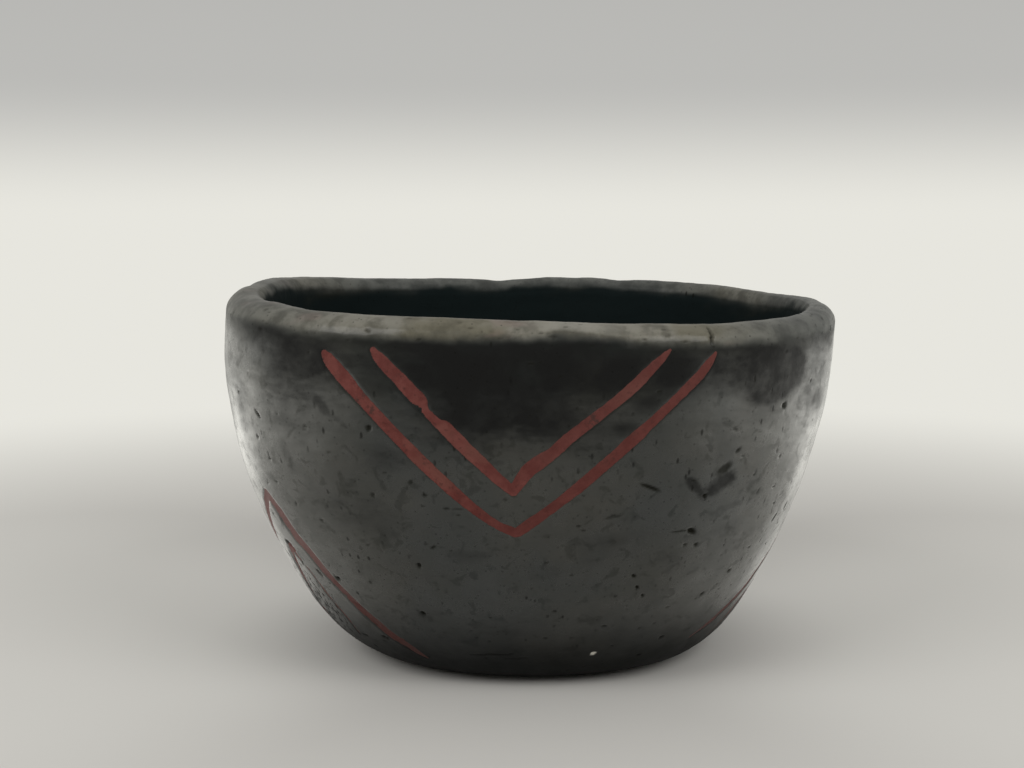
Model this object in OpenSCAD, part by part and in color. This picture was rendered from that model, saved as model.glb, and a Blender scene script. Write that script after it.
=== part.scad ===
// Hand-built black clay bowl with incised, red-filled double chevrons.
// Units are millimetres, +Z is up, the origin is the centre of the resting plane,
// +X is the right-hand side and -Y is the front.

/* [Bowl] */
// Width across X at the widest place, just under the lip
bowl_w = 100; // [70:1:160]
// Depth across Y as a share of the width
depth_share = 0.97; // [0.9:0.01:1]
// Mean height from the resting plane to the top of the lip
bowl_h = 59.5; // [45:0.5:90]
// How square the mouth is in plan (2 is an ellipse)
mouth_square = 2.6; // [2.2:0.1:3.2]
// How square the foot is in plan (2 is an ellipse)
foot_square = 2.1; // [2:0.1:2.6]
// How far the mouth sits to the right of the middle of the whole bowl
mouth_shift = 0.46; // [0:0.01:1]
// How far the foot sits to the left of the mouth
foot_shift = 0.5; // [0:0.1:2]
// How far the belly sits to the left of the mouth
belly_shift = 1; // [0:0.1:2]

/* [Wall and lip] */
// Mean wall thickness at the lip
wall_rim = 5.6; // [4:0.1:8]
// Thickness of the floor
floor_t = 7; // [4:0.5:10]
// Width of the rounding on the outer edge of the lip
lip_out_w = 3.4; // [2:0.1:3.8]
// Height of the rounding on the outer edge of the lip
lip_out_h = 3.1; // [1.5:0.1:4]
// Height of the rounding on the inner edge of the lip
lip_in_h = 2.4; // [1.5:0.1:4]

/* [Hand-made waviness] */
// Strength of the rise and fall of the rim (0 is level)
rim_wave = 1; // [0:0.1:1.5]

/* [Incised lines] */
// Width of an incised line at the clay surface
line_w = 2.2; // [1.4:0.1:3]
// Depth of an incised line
line_d = 0.6; // [0.4:0.05:1]
// How far the red fill stays below the clay surface
fill_recess = 0.15; // [0.1:0.05:0.25]

/* [Hidden] */

clay_dark = [0.15, 0.15, 0.145];
clay_red = [0.33, 0.21, 0.18];

segs = 72;              // divisions around the bowl
lip_steps = 5;          // divisions of each rounding of the lip
groove_top = 1;         // the cutter stands this far above the clay
k = bowl_w / 100;       // width scale of the profiles below

// Outer profile: [share of the height, half width on a 100 mm bowl]
OUTER = [[0, 24], [0.012, 27.2], [0.047, 31.1], [0.117, 35], [0.226, 39.1],
    [0.36, 43.1], [0.51, 46.4], [0.66, 48.7], [0.805, 49.9], [0.905, 50], [1, 49.8]];
// Inner profile from under the lip down to the floor: [share of the way up, half width]
INNER = [[0, 12], [0.02, 19], [0.07, 25.5], [0.15, 31], [0.27, 35.3],
    [0.42, 38.8], [0.6, 41.5], [0.78, 43.4], [1, 44.2]];

function mix(a, b, t) = a + (b - a) * t;
// index of the profile span that holds s
function span(P, s, i = 0) = i >= len(P) - 2 || s <= P[i + 1][0] ? i : span(P, s, i + 1);
// slope of a profile at one of its own points
function slope(P, i) = let (a = max(i - 1, 0), b = min(i + 1, len(P) - 1))
    (P[b][1] - P[a][1]) / (P[b][0] - P[a][0]);
// smooth value of a profile at s
function along(P, s) = let (i = span(P, s), h = P[i + 1][0] - P[i][0],
        t = (s - P[i][0]) / h, a = P[i][1], b = P[i + 1][1],
        m = slope(P, i) * h, n = slope(P, i + 1) * h)
    a * (2 * t * t * t - 3 * t * t + 1) + m * (t * t * t - 2 * t * t + t)
    + b * (3 * t * t - 2 * t * t * t) + n * (t * t * t - t * t);

// height of the rim at an angle around the bowl
function rim_z(t) = bowl_h + rim_wave * (-1.35 * cos(t) + 0.95 * sin(t)
    + 0.5 * cos(2 * t) + 0.15 * sin(2 * t) - 0.2 * cos(3 * t) - 0.1 * sin(3 * t)
    + 0.2 * cos(4 * t) - 0.2 * sin(4 * t) + 0.1 * cos(5 * t) - 0.1 * sin(5 * t));
// exponent of the rounded-square plan, fuller on the left than on the right
function square_n(t, s) = mix(foot_square, mouth_square - 0.3 * cos(t), pow(min(max(s, 0), 1), 0.7));
function plan(t, s) = let (n = square_n(t, s))
    pow(pow(abs(cos(t)), n) + pow(abs(sin(t)), n), -1 / n);
// point of the bowl at angle t, height share s and half width a
function at(t, s, a) = let (r = plan(t, s) * a * k) [
    r * cos(t) + mouth_shift - foot_shift * (1 - s) - belly_shift * 4 * s * (1 - s),
    depth_share * r * sin(t), s * rim_z(t)];
// point on the outer wall
function skin(t, s) = at(t, s, along(OUTER, s));
function unit(v) = v / norm(v);
// outward direction of the outer wall
function out(t, s) = unit(cross(skin(t + 0.5, s) - skin(t - 0.5, s),
    skin(t, s + 0.004) - skin(t, s - 0.004)));

lip_s = 1 - lip_out_h / bowl_h;          // where the lip rounding starts
lip_i = 1 - lip_in_h / bowl_h;           // where the inner rounding ends
floor_s = floor_t / bowl_h;
wall_s = [for (i = [0:15]) 0.012 + (lip_s - 0.012) * (i < 3 ? [0, 0.035, 0.075][i] : mix(0.125, 1, (i - 3) / 12))];
// wall thickness at the lip: a little more on the left than on the right
function wall(t) = wall_rim * (1 - 0.09 * cos(t));

// one ring of points around the bowl
function ring(i) = [for (j = [0:segs - 1]) let (t = j * 360 / segs) rings(i, t)];
n_wall = len(wall_s);
n_in = 12;
// rings in order: foot edge, outer wall, outer rounding, inner rounding, inner wall
function rings(i, t) =
    i == 0 ? at(t, 0, 14)
    : i == 1 ? at(t, 0, 24)
    : i < 2 + n_wall ? skin(t, wall_s[i - 2])
    : i < 2 + n_wall + lip_steps ? let (f = (i - 1 - n_wall) * 90 / lip_steps)
        at(t, lip_s + (1 - lip_s) * sin(f), along(OUTER, lip_s) - (lip_out_w * (1 - cos(f))) / k)
    : i < 2 + n_wall + 2 * lip_steps ? let (f = (i - 1 - n_wall - lip_steps) * 90 / lip_steps,
        w = wall(t) - lip_out_w)
        at(t, lip_i + (1 - lip_i) * cos(f), along(OUTER, lip_s) - (lip_out_w + w * sin(f)) / k)
    : let (q = 1 - pow((i - 1 - n_wall - 2 * lip_steps) / n_in, 0.85),
        a = along(INNER, q) + mix(0, 5.6 - wall(t), q) / k)
        at(t, mix(floor_s, lip_i, q), a);
n_rings = 2 + n_wall + 2 * lip_steps + n_in;

module clay_shell() {
    pts = [for (i = [0:n_rings - 1]) each ring(i), at(0, 0, 0), [mouth_shift - foot_shift, 0, floor_t - 0.3]];
    last = (n_rings - 1) * segs;
    polyhedron(points = pts, faces = [
        for (i = [0:n_rings - 2], j = [0:segs - 1]) let (a = i * segs + j,
            b = i * segs + (j + 1) % segs) each [[a, a + segs, b + segs], [a, b + segs, b]],
        for (j = [0:segs - 1]) [len(pts) - 2, j, (j + 1) % segs],
        for (j = [0:segs - 1]) [len(pts) - 1, last + (j + 1) % segs, last + j]]);
}

// ---- incised lines: each is a run of [angle, height share] points on the wall

// a V hanging from the rim: centre angle, half spread at the top, top and tip heights
function vee(c, half, top, tip) = [
    [c - half, top], [c - 0.86 * half, mix(tip, top, 0.8)], [c - 0.62 * half, mix(tip, top, 0.56)],
    [c - 0.3 * half, mix(tip, top, 0.25)], [c, tip], [c + 0.32 * half, mix(tip, top, 0.28)],
    [c + 0.63 * half, mix(tip, top, 0.58)], [c + 0.85 * half, mix(tip, top, 0.8)], [c + half, top]];
// a peak standing on the foot: centre angle, half spread at the foot, tip and foot heights
function peak(c, half, tip, low) = [
    [c - half, low], [c - 0.8 * half, mix(low, tip, 0.15)], [c - 0.6 * half, mix(low, tip, 0.33)],
    [c - 0.28 * half, mix(low, tip, 0.72)], [c, tip], [c + 0.27 * half, mix(low, tip, 0.74)],
    [c + 0.6 * half, mix(low, tip, 0.34)], [c + 0.82 * half, mix(low, tip, 0.14)], [c + half, low]];

FRONT_OUTER = [[236.5, 0.91], [241.5, 0.82], [248.5, 0.72], [258, 0.577], [268.5, 0.47],
    [281.5, 0.63], [291, 0.76], [300.5, 0.935]];
FRONT_INNER = [[245, 0.925], [251.5, 0.83], [257, 0.737], [267.7, 0.585],
    [279.8, 0.765], [286.5, 0.855], [292, 0.933]];
LEFT_OUTER = [[189, 0.09], [195, 0.17], [201, 0.28], [208, 0.39], [216, 0.5],
    [222.5, 0.4], [228, 0.305], [232, 0.205], [237, 0.125], [242, 0.065]];
LEFT_INNER = [[205, 0.08], [210, 0.19], [216.5, 0.355], [221, 0.257], [223, 0.18], [221, 0.11]];
RIGHT_OUTER = [[315.5, 0.115], [324.7, 0.176], [334, 0.265], [342, 0.42], [350, 0.31],
    [357, 0.2], [364, 0.1]];
RIGHT_INNER = [[327, 0.09], [333, 0.155], [341, 0.25], [347, 0.17], [352, 0.09]];

// the same run with points about every 4 mm
function fine(P) = [for (i = [0:len(P) - 2]) let (d = norm(skin(P[i + 1][0], P[i + 1][1])
    - skin(P[i][0], P[i][1])), m = max(1, round(d / 4)))
    each [for (q = [0:m - 1]) mix(P[i], P[i + 1], q / m)], P[len(P) - 1]];

// a strip that follows the wall from depth lo to height hi, with a hollow-ground section
module strip(P, lo, hi) {
    F = fine(P);
    n = len(F);
    C = [for (p = F) skin(p[0], p[1])];
    T = [for (i = [0:n - 1]) let (a = C[max(i - 1, 0)], b = C[i], c = C[min(i + 1, n - 1)])
        unit((i == 0 ? [0, 0, 0] : unit(b - a)) + (i == n - 1 ? [0, 0, 0] : unit(c - b)))];
    // widening at a corner, so that the line keeps its width
    W = [for (i = [0:n - 1]) i == 0 || i == n - 1 ? 1
        : min(1.8, 1 / max(0.2, T[i] * unit(C[i + 1] - C[i])))];
    function half(h) = line_w * (0.5 + 0.28 * h / line_d);
    pts = [for (i = [0:n - 1]) let (N = out(F[i][0], F[i][1]), B = unit(cross(N, T[i])) * W[i])
        each [C[i] - half(lo) * B + lo * N, C[i] + half(lo) * B + lo * N,
            C[i] + half(hi) * B + hi * N, C[i] - half(hi) * B + hi * N]];
    polyhedron(points = pts, faces = [
        for (i = [0:n - 2], j = [0:3]) let (a = 4 * i + j, b = 4 * i + (j + 1) % 4)
            each [[a, a + 4, b + 4], [a, b + 4, b]],
        [0, 1, 2], [0, 2, 3],
        [4 * n - 4, 4 * n - 2, 4 * n - 3], [4 * n - 4, 4 * n - 1, 4 * n - 2]]);
}

module cut(P) { strip(P, -line_d, groove_top); }
module fill(P) { color(clay_red) strip(P, -line_d, -fill_recess); }

REAR_RIGHT_OUTER = vee(40, 31, 0.92, 0.48);
REAR_RIGHT_INNER = vee(40, 22, 0.93, 0.6);
REAR_LEFT_OUTER = vee(157, 30, 0.92, 0.47);
REAR_LEFT_INNER = vee(157, 21, 0.93, 0.59);
BACK_OUTER = peak(99, 27, 0.49, 0.07);
BACK_INNER = peak(99, 14, 0.33, 0.09);

// the fired clay vessel, with every line cut into its outer wall
module pot_body() {
    color(clay_dark) difference() {
        clay_shell();
        for (P = [FRONT_OUTER, FRONT_INNER, REAR_RIGHT_OUTER, REAR_RIGHT_INNER,
            REAR_LEFT_OUTER, REAR_LEFT_INNER, LEFT_OUTER, LEFT_INNER,
            RIGHT_OUTER, RIGHT_INNER, BACK_OUTER, BACK_INNER]) cut(P);
    }
}

module front_chevron_outer() { fill(FRONT_OUTER); }
module front_chevron_inner() { fill(FRONT_INNER); }
module rear_right_chevron_outer() { fill(REAR_RIGHT_OUTER); }
module rear_right_chevron_inner() { fill(REAR_RIGHT_INNER); }
module rear_left_chevron_outer() { fill(REAR_LEFT_OUTER); }
module rear_left_chevron_inner() { fill(REAR_LEFT_INNER); }
module left_peak_outer() { fill(LEFT_OUTER); }
module left_peak_inner() { fill(LEFT_INNER); }
module right_peak_outer() { fill(RIGHT_OUTER); }
module right_peak_inner() { fill(RIGHT_INNER); }
module back_peak_outer() { fill(BACK_OUTER); }
module back_peak_inner() { fill(BACK_INNER); }

pot_body();
front_chevron_outer();
front_chevron_inner();
rear_right_chevron_outer();
rear_right_chevron_inner();
rear_left_chevron_outer();
rear_left_chevron_inner();
left_peak_outer();
left_peak_inner();
right_peak_outer();
right_peak_inner();
back_peak_outer();
back_peak_inner();
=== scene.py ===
import math

import bpy
import numpy as np
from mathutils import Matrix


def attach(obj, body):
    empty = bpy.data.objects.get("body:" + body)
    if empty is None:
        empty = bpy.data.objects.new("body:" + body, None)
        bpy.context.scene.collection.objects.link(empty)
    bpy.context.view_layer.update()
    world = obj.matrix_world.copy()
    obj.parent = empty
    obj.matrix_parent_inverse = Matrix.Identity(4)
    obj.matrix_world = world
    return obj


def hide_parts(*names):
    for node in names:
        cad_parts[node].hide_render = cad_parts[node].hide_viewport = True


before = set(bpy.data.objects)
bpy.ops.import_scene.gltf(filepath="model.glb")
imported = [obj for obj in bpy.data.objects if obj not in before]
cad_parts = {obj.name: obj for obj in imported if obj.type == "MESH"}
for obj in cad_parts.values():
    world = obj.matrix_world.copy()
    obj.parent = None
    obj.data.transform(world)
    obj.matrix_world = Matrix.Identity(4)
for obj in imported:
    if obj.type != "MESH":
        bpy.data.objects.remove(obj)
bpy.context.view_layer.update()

# --------------------------------------------------------------------------
# Black clay bowl. Lengths below are millimetres until the mesh is made; the
# shape rules are the same as the CAD model's, with finer hand-made detail.
# --------------------------------------------------------------------------

BOWL_H, DEPTH, WALL = 59.5, 0.97, 5.6
FOOT_N, MOUTH_N = 2.1, 2.6
MOUTH_SHIFT, FOOT_SHIFT, BELLY_SHIFT = 0.46, 0.5, 1.0
LIP_W, LIP_H, LIP_IN = 3.4, 3.1, 2.4
FLOOR = 7.0
LINE_W, LINE_D = 2.2, 0.45

OUTER = np.array([[0, 24], [0.012, 27.2], [0.047, 31.1], [0.117, 35], [0.226, 39.1],
                  [0.36, 43.1], [0.51, 46.4], [0.66, 48.7], [0.805, 49.9], [0.905, 50], [1, 49.8]])
INNER = np.array([[0, 12], [0.02, 19], [0.07, 25.5], [0.15, 31], [0.27, 35.3],
                  [0.42, 38.8], [0.6, 41.5], [0.78, 43.4], [1, 44.2]])

# small rises and dips of the rim: angle, height, half width in degrees
RIM_BUMPS = [(112, 0.16, 6), (98.5, -0.36, 3.5), (86, 0.2, 4), (76.5, 0.2, 4), (69, -0.3, 3.5),
             (57, -0.06, 4), (42, 0.15, 5), (134, -0.09, 6), (220, 0.2, 3), (231, -0.22, 5),
             (240, -0.14, 9), (252, 0.03, 7), (271, -0.1, 6), (290, 0.09, 6), (302, -0.06, 3), (314, 0.06, 4),
             (17, -0.08, 6), (165, 0.12, 5), (185, -0.15, 6), (200, 0.14, 5), (345, 0.12, 5), (356, -0.1, 4)]


def along(P, s):
    """Smooth value of a profile at s, the same cubic as the CAD model's."""
    s = np.asarray(s, float)
    x, y = P[:, 0], P[:, 1]
    i = np.clip(np.searchsorted(x, s, side="left") - 1, 0, len(x) - 2)
    lo, hi = np.maximum(np.arange(len(x)) - 1, 0), np.minimum(np.arange(len(x)) + 1, len(x) - 1)
    m = (y[hi] - y[lo]) / (x[hi] - x[lo])
    h = x[i + 1] - x[i]
    t = (s - x[i]) / h
    return (y[i] * (2 * t ** 3 - 3 * t ** 2 + 1) + m[i] * h * (t ** 3 - 2 * t ** 2 + t)
            + y[i + 1] * (3 * t ** 2 - 2 * t ** 3) + m[i + 1] * h * (t ** 3 - t ** 2))


def turn(a, b):
    """Signed difference of two angles in degrees."""
    return (np.asarray(a) - b + 180) % 360 - 180


def rim_z(t):
    r = np.radians(t)
    return BOWL_H + (-1.35 * np.cos(r) + 0.95 * np.sin(r) + 0.5 * np.cos(2 * r) + 0.15 * np.sin(2 * r)
                     - 0.2 * np.cos(3 * r) - 0.1 * np.sin(3 * r) + 0.2 * np.cos(4 * r) - 0.2 * np.sin(4 * r)
                     + 0.1 * np.cos(5 * r) - 0.1 * np.sin(5 * r))


def bumps(t):
    z = np.zeros_like(np.asarray(t, float))
    for c, h, w in RIM_BUMPS:
        z += h * np.exp(-(turn(t, c) / w) ** 2)
    return z


def plan(t, s):
    r = np.radians(t)
    top = MOUTH_N - 0.3 * np.cos(r)
    n = FOOT_N + (top - FOOT_N) * np.clip(s, 0, 1) ** 0.7
    return (np.abs(np.cos(r)) ** n + np.abs(np.sin(r)) ** n) ** (-1 / n)


def at(t, s, a):
    t, s, a = np.broadcast_arrays(*[np.asarray(v, float) for v in (t, s, a)])
    r = np.radians(t)
    q = plan(t, s) * a
    x = q * np.cos(r) + MOUTH_SHIFT - FOOT_SHIFT * (1 - s) - BELLY_SHIFT * 4 * s * (1 - s)
    z = s * (rim_z(t) + bumps(t) * np.clip(s, 0, 1) ** 7)
    return np.stack([x, DEPTH * q * np.sin(r), z], -1)


def skin(t, s):
    return at(t, s, along(OUTER, s))


def unit(v):
    return v / np.maximum(np.linalg.norm(v, axis=-1, keepdims=True), 1e-12)


# ---- seeded noise --------------------------------------------------------

def perlin(p, seed):
    rng = np.random.RandomState(seed)
    perm = rng.permutation(256)
    g = rng.normal(size=(256, 3))
    g = (g / np.linalg.norm(g, axis=1, keepdims=True)).astype(np.float32)
    shape = p.shape[:-1]
    p = np.asarray(p, float).reshape(-1, 3)
    base = np.floor(p).astype(np.int64)
    f = (p - base).astype(np.float32)
    u = f * f * f * (f * (f * 6 - 15) + 10)
    out = np.zeros(len(p), np.float32)
    for dx in (0, 1):
        for dy in (0, 1):
            for dz in (0, 1):
                k = perm[(perm[(perm[(base[:, 0] + dx) & 255] + base[:, 1] + dy) & 255] + base[:, 2] + dz) & 255]
                d = (g[k, 0] * (f[:, 0] - dx) + g[k, 1] * (f[:, 1] - dy) + g[k, 2] * (f[:, 2] - dz))
                w = ((u[:, 0] if dx else 1 - u[:, 0]) * (u[:, 1] if dy else 1 - u[:, 1])
                     * (u[:, 2] if dz else 1 - u[:, 2]))
                out += d * w
    return (out * 1.5).reshape(shape)


def fbm(p, size, seed, octaves=3, gain=0.5):
    """Noise of about -1 to 1 whose largest lumps are size mm across; size may be one number per axis."""
    q = p / np.asarray(size, float)
    total, amp, norm = 0.0, 1.0, 0.0
    for i in range(octaves):
        total = total + amp * perlin(q * 2 ** i + 17.3 * i, seed + i)
        norm += amp
        amp *= gain
    return total / norm


def smooth(a, b, x):
    t = np.clip((x - a) / (b - a), 0, 1)
    return t * t * (3 - 2 * t)


# ---- incised lines: runs of (angle, height share) points on the wall ------

def brushed(offsets, heights, c, half, base, reach):
    """A two-legged stroke: the half width swells after its start, narrows at the bend and tapers to its end."""
    widths = (0.5, 1.02, 1.0, 0.92, 0.8, 0.92, 0.88, 0.78, 0.28)
    return [(c + half * o, base + reach * h, w) for o, h, w in zip(offsets, heights, widths)]


def vee(c, half, top, tip):
    return brushed((-1, -0.86, -0.62, -0.3, 0, 0.32, 0.63, 0.85, 1),
                   (1, 0.8, 0.56, 0.25, 0, 0.28, 0.58, 0.8, 1), c, half, tip, top - tip)


def peak(c, half, tip, low):
    return brushed((-1, -0.8, -0.6, -0.28, 0, 0.27, 0.6, 0.82, 1),
                   (0, 0.15, 0.33, 0.72, 1, 0.74, 0.34, 0.14, 0), c, half, low, tip - low)


LINES = {  # runs of angle, height share and half width in mm
    "front_chevron_outer": [
        (236.9, 0.906, 0.55), (237.6, 0.893, 0.95), (239.9, 0.857, 1.10), (243.3, 0.802, 0.92), (247.5, 0.733, 0.92),
        (251.8, 0.664, 0.98), (256.4, 0.597, 0.94), (260.3, 0.544, 0.80), (264.7, 0.496, 0.66), (268.4, 0.472, 0.80),
        (270.9, 0.4975, 0.86), (275.3, 0.5485, 0.76), (279.4, 0.6015, 0.86), (284.0, 0.6675, 0.87), (287.6, 0.7225, 0.90),
        (290.2, 0.7635, 0.74), (294.4, 0.831, 0.70), (297.1, 0.873, 0.76), (298.7, 0.905, 0.64), (299.8, 0.932, 0.26)],
    "front_chevron_inner": [
        (244.9, 0.921, 0.50), (246.1, 0.900, 0.90), (248.9, 0.860, 0.98), (250.7, 0.833, 1.12), (253.0, 0.797, 1.06),
        (253.9, 0.773, 0.64), (255.4, 0.751, 0.70), (256.8, 0.737, 1.03), (259.5, 0.696, 1.04), (263.3, 0.642, 0.95),
        (265.8, 0.607, 0.88), (267.9, 0.582, 0.75), (270.1, 0.632, 1.08), (272.3, 0.660, 1.10), (274.4, 0.684, 0.93),
        (277.2, 0.725, 0.88), (280.1, 0.762, 0.85), (283.8, 0.811, 0.79), (286.6, 0.850, 0.88), (289.1, 0.892, 0.75),
        (290.8, 0.920, 0.56), (292.0, 0.940, 0.22)],
    "rear_right_chevron_outer": vee(40, 31, 0.92, 0.48),
    "rear_right_chevron_inner": vee(40, 22, 0.93, 0.6),
    "rear_left_chevron_outer": vee(157, 30, 0.92, 0.47),
    "rear_left_chevron_inner": vee(157, 21, 0.93, 0.59),
    "left_peak_outer": [
        (189, 0.09, 0.5), (195, 0.17, 0.8), (201, 0.28, 0.9), (208, 0.39, 0.95), (213.5, 0.470, 0.95), (216, 0.502, 0.95),
        (218.8, 0.462, 1.22), (221.3, 0.403, 1.18), (223.4, 0.371, 1.02), (225.5, 0.323, 1.00), (227.5, 0.274, 0.86),
        (229.8, 0.229, 0.85), (232.5, 0.184, 0.98), (235.5, 0.143, 0.92), (238.9, 0.109, 0.82), (242, 0.074, 0.35)],
    "left_peak_inner": [
        (205, 0.08, 0.4), (208, 0.14, 0.55), (210.5, 0.225, 0.6), (213.2, 0.312, 1.05), (216.0, 0.357, 0.9),
        (217.6, 0.325, 0.36), (219.9, 0.284, 0.32), (221.2, 0.212, 0.36), (222.6, 0.157, 0.42), (222.4, 0.112, 0.25)],
    "right_peak_outer": [
        (315.5, 0.115, 0.3), (320.0, 0.145, 0.6), (327, 0.195, 0.7), (334, 0.265, 0.85), (342, 0.42, 0.95),
        (350, 0.31, 0.95), (357, 0.2, 0.9), (364, 0.1, 0.4)],
    "right_peak_inner": [(327, 0.09, 0.4), (333, 0.155, 0.85), (341, 0.25, 0.9), (347, 0.17, 0.85), (352, 0.09, 0.4)],
    "back_peak_outer": peak(99, 27, 0.49, 0.07),
    "back_peak_inner": peak(99, 14, 0.33, 0.09),
}
WAY = {  # worn-away share of each line's pigment and how pale it is
    "front_chevron_outer": (0.0, 0.0), "front_chevron_inner": (0.1, 0.05), "left_peak_outer": (0.4, 1.0),
    "left_peak_inner": (0.7, 0.7), "right_peak_outer": (0.35, 0.3), "right_peak_inner": (0.4, 0.4),
}

# ---- the main grid: outer wall, lip and the top of the inner wall ---------

NT = 1440
STEP = 0.25
theta = np.arange(NT) * 360.0 / NT


def even(values, lengths, step):
    """Values resampled so that they lie about step apart along lengths."""
    n = max(2, int(round(lengths[-1] / step)))
    return np.interp(np.linspace(0, lengths[-1], n + 1), lengths, values)


lip_s = 1 - LIP_H / BOWL_H
lip_i = 1 - LIP_IN / BOWL_H
floor_s = FLOOR / BOWL_H
ss = np.linspace(0, 1, 6001) ** 1.6 * lip_s
aa = along(OUTER, ss)
aa[0] = 24
rows_s = even(ss, np.concatenate([[0], np.cumsum(np.hypot(np.diff(aa), np.diff(ss * BOWL_H)))]), STEP)
n_lip = int(round(4.9 / STEP)) + 1
fi_out = np.linspace(0, 90, n_lip)[1:]
fi_in = np.linspace(0, 90, n_lip)[1:]
a_lip = float(along(OUTER, lip_s))
wall = WALL * (1 - 0.09 * np.cos(np.radians(theta)))

P, U = [], []           # points and a running mark of where each row is
for s in rows_s:
    P.append(skin(theta, s))
for f in fi_out:
    c, s_ = math.cos(math.radians(f)), math.sin(math.radians(f))
    P.append(at(theta, lip_s + (1 - lip_s) * s_, a_lip - LIP_W * (1 - c)))
for f in fi_in:
    c, s_ = math.cos(math.radians(f)), math.sin(math.radians(f))
    P.append(at(theta, lip_i + (1 - lip_i) * c, a_lip - LIP_W - (wall - LIP_W) * s_))
n_out, n_top = len(rows_s), len(rows_s) + len(fi_out)

# inner wall and floor: q runs from 1 under the lip to 0 at the floor's middle ring
qq = np.linspace(1, 0, 4001)
ia = along(INNER, qq)
iz = floor_s + (lip_i - floor_s) * qq
rows_q = even(qq, np.concatenate([[0], np.cumsum(np.hypot(np.diff(ia), np.diff(iz * BOWL_H)))]), STEP * 2)[1:]
n_skirt = int(round(6 / (STEP * 2)))        # inner rows kept at the full count of points


def inner_row(q, t):
    w = WALL * (1 - 0.09 * np.cos(np.radians(t)))
    return at(t, floor_s + (lip_i - floor_s) * q, along(INNER, q) + (WALL - w) * q)


for q in rows_q[:n_skirt]:
    P.append(inner_row(q, theta))
P = np.stack(P)                               # rows, columns, 3
NR = len(P)


def grid_normals(G):
    du = np.roll(G, -1, 1) - np.roll(G, 1, 1)
    dv = np.empty_like(G)
    dv[1:-1] = G[2:] - G[:-2]
    dv[0], dv[-1] = G[1] - G[0], G[-1] - G[-2]
    return unit(np.cross(du, dv))


N = grid_normals(P)
TH = unit(np.roll(P, -1, 1) - np.roll(P, 1, 1))          # along the ring
TV = np.cross(N, TH)                                     # up the wall
S = P[..., 2] / (rim_z(theta) + bumps(theta))[None]      # height share
OVER = ((np.arange(NR) - n_top) * STEP)[:, None] + np.zeros((1, NT))   # mm past the top of the rim, going inwards
on_wall = smooth(1.5, -1.5, OVER)                        # 1 outside, 0 inside
foot = smooth(0.0, 0.03, S)                              # fades detail out at the foot

# ---- hand-made unevenness -------------------------------------------------
D = np.zeros((NR, NT))
D += 0.26 * fbm(P, (17, 17, 13), 11, 2) * foot           # pinched and scraped wall
D += 0.07 * fbm(P, (6, 6, 3.2), 21, 2) * foot            # finger and scraper marks
D += 0.018 * fbm(P, (2.6, 2.6, 0.9), 31, 2) * foot       # burnishing strokes
D += 0.008 * fbm(P, 0.7, 41, 2) * foot                   # grain
lipband = smooth(0.93, 0.965, S)
D += 0.10 * fbm(P, 5.0, 51, 2) * lipband
D += 0.035 * fbm(P, 1.4, 61, 2) * lipband
inside = smooth(-0.5, 2.5, OVER)
D += inside * (0.16 * fbm(P, (8, 8, 5), 71, 2) + 0.05 * fbm(P, 1.8, 81, 2))

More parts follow.
